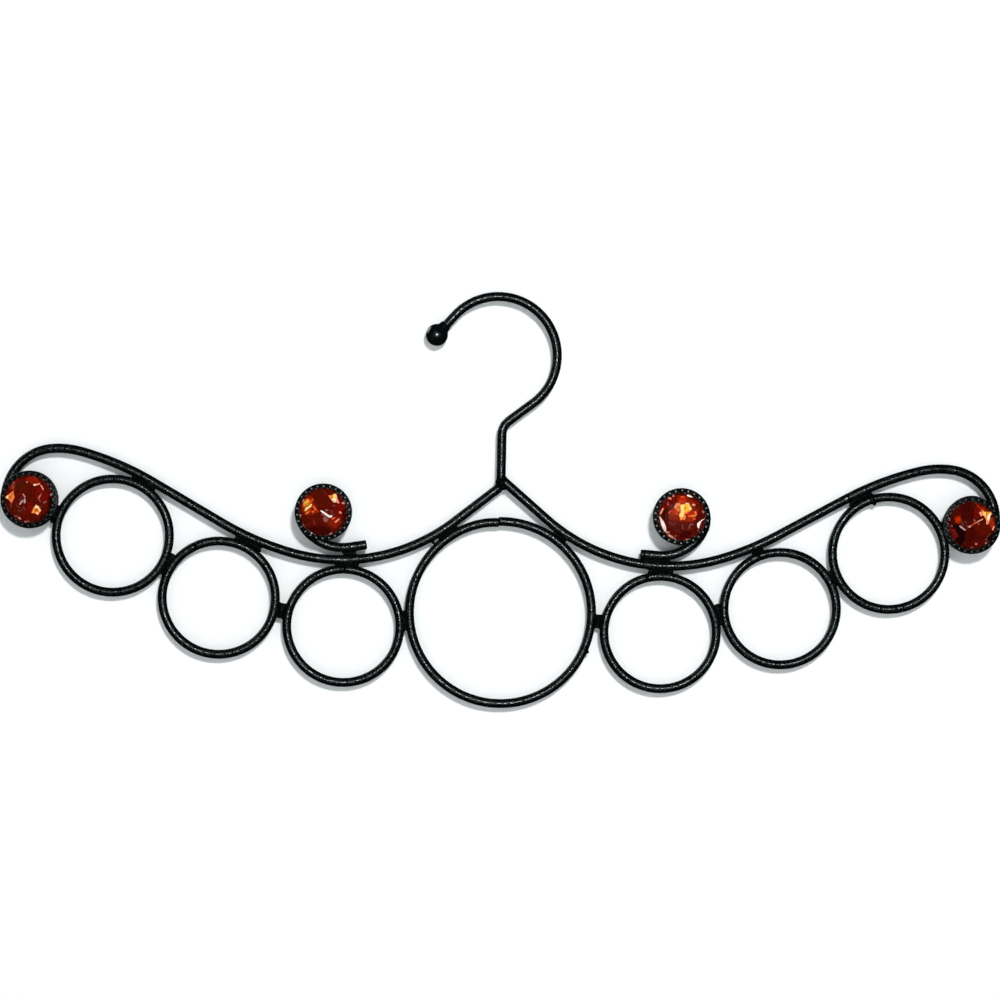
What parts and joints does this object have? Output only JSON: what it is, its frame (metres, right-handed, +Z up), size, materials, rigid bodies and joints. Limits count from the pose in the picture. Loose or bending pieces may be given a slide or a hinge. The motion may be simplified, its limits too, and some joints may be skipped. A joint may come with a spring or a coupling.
{
  "type": "scarf hanger",
  "caption": "Black coated wire scarf hanger with a ball-ended rail hook, scrolled arms, a curved row of rings for scarves and round faceted amber jewels in milled cups.",
  "frame": {"origin": "centre of the hook's arc, in the mid-plane of the wires, where the rail's axis lies a little below the arc's top", "axes": "+Z up as the hanger hangs, +X to the right seen from the jewels' side, which faces -Y; all wires lie in the XZ plane"},
  "size_m": [0.4588, 0.0132, 0.1909],
  "materials": {
    "coated_wire": "glossy black coating with fine pits",
    "ball_coating": "glossy black coating",
    "coated_weld": "semi-gloss black coating over rough weld",
    "cup_coating": "glossy black with worn bright tooth edges",
    "amber_jewel": "clear dark amber acrylic with a foiled back, faceted and polished",
    "clear_glue": "set clear glue"
  },
  "bodies": {
    "root": {"hook_wire": "coated_wire", "hook_ball": "ball_coating", "left_arm": "coated_wire", "right_arm": "coated_wire", "left_scroll": "coated_wire", "right_scroll": "coated_wire", "centre_ring": "coated_wire", "left_inner_ring": "coated_wire", "left_middle_ring": "coated_wire", "left_outer_ring": "coated_wire", "right_inner_ring": "coated_wire", "right_middle_ring": "coated_wire", "right_outer_ring": "coated_wire", "left_outer_cup": "cup_coating", "left_inner_cup": "cup_coating", "right_inner_cup": "cup_coating", "right_outer_cup": "cup_coating", "left_outer_jewel": "amber_jewel", "left_inner_jewel": "amber_jewel", "right_inner_jewel": "amber_jewel", "right_outer_jewel": "amber_jewel", "left_outer_glue": "clear_glue", "left_inner_glue": "clear_glue", "right_inner_glue": "clear_glue", "right_outer_glue": "clear_glue", "apex_weld": "coated_weld", "ring_welds": "coated_weld", "arm_welds": "coated_weld", "scroll_welds": "coated_weld", "cup_welds": "coated_weld", "ring_seams": "coated_weld"}
  },
  "joints": []
}
